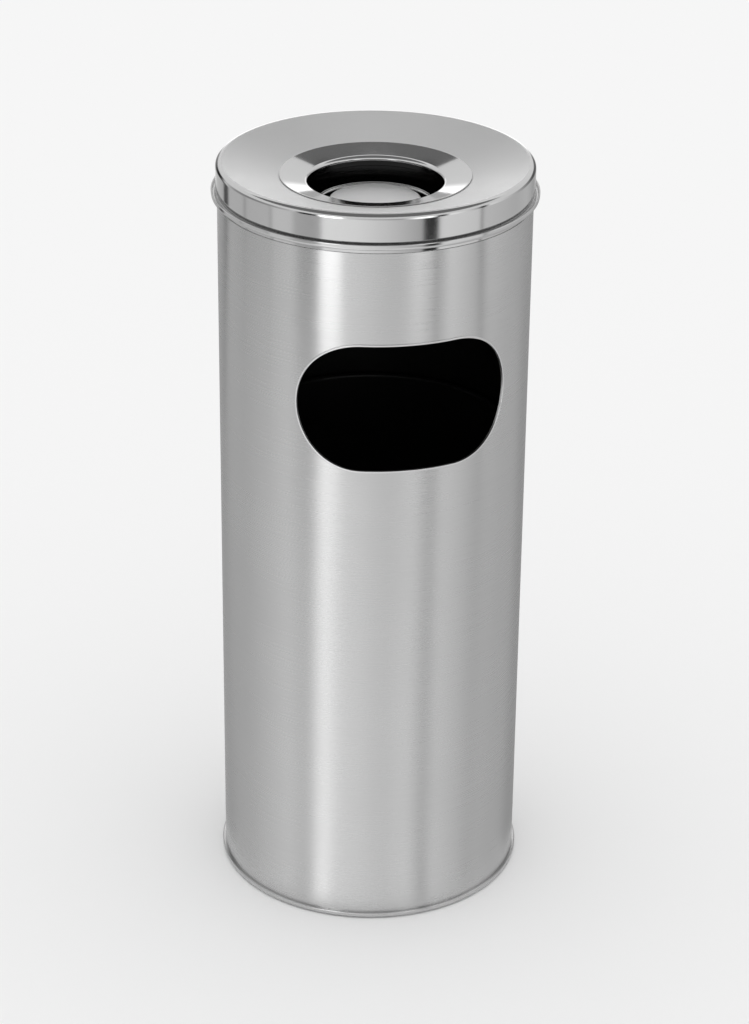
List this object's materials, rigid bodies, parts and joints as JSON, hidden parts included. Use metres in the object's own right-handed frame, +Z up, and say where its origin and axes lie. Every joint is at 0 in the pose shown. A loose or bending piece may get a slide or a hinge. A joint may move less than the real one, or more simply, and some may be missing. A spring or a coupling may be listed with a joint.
{
  "type": "litter bin",
  "caption": "Round steel ash and litter bin with an oblong mouth in its side, a lift-off dished lid, a lift-out ash bowl and a liner bucket with a bail.",
  "frame": {"origin": "middle of the base, on the floor under the rubber feet", "axes": "+Z up along the bin's axis, -Y out through the litter mouth, +X to the right seen from the front"},
  "size_m": [0.2574, 0.2574, 0.62],
  "materials": {
    "brushed_stainless": "brushed round the body",
    "polished_stainless": "mirror polished",
    "satin_stainless": "satin",
    "black_lacquer": "satin black lacquer",
    "black_enamel": "gloss black enamel",
    "zinc_plated_steel": "zinc plated",
    "black_rubber": "matt",
    "black_plastic": "moulded, fine grain"
  },
  "bodies": {
    "bin_body": {"body_shell": "brushed_stainless", "aperture_edging": "polished_stainless", "top_collar": "polished_stainless", "rim_seal": "black_rubber", "base_pan": "polished_stainless", "rubber_feet": "black_rubber", "foot_screws": "zinc_plated_steel", "foot_washers": "zinc_plated_steel", "foot_nuts": "zinc_plated_steel"},
    "liner": {"liner_wall": "black_lacquer", "liner_rim_wire": "zinc_plated_steel", "liner_floor": "black_lacquer", "liner_ears": "zinc_plated_steel", "ear_rivets": "zinc_plated_steel"},
    "bail": {"bail_wire": "zinc_plated_steel", "bail_grip": "black_plastic"},
    "lid": {"lid_cover": "polished_stainless"},
    "ash_bowl": {"bowl_ring": "polished_stainless", "bowl_pan": "black_enamel", "stub_plate": "satin_stainless", "plate_spacer": "zinc_plated_steel", "plate_nut": "zinc_plated_steel", "pan_washer": "zinc_plated_steel", "plate_screw": "zinc_plated_steel"}
  },
  "joints": [
    {"name": "liner_lift", "type": "slide", "parent": "bin_body", "child": "liner", "axis": [0, 0, 1], "range_m": [0, 0.63]},
    {"name": "bail_swing", "type": "hinge", "parent": "liner", "child": "bail", "pos_m": [0, 0, 0.378], "axis": [1, 0, 0], "range_deg": [0, 208.2]},
    {"name": "lid_lift", "type": "slide", "parent": "liner", "child": "lid", "axis": [0, 0, 1], "range_m": [0, 0.13]},
    {"name": "ash_bowl_lift", "type": "slide", "parent": "lid", "child": "ash_bowl", "axis": [0, 0, 1], "range_m": [0, 0.1]}
  ]
}
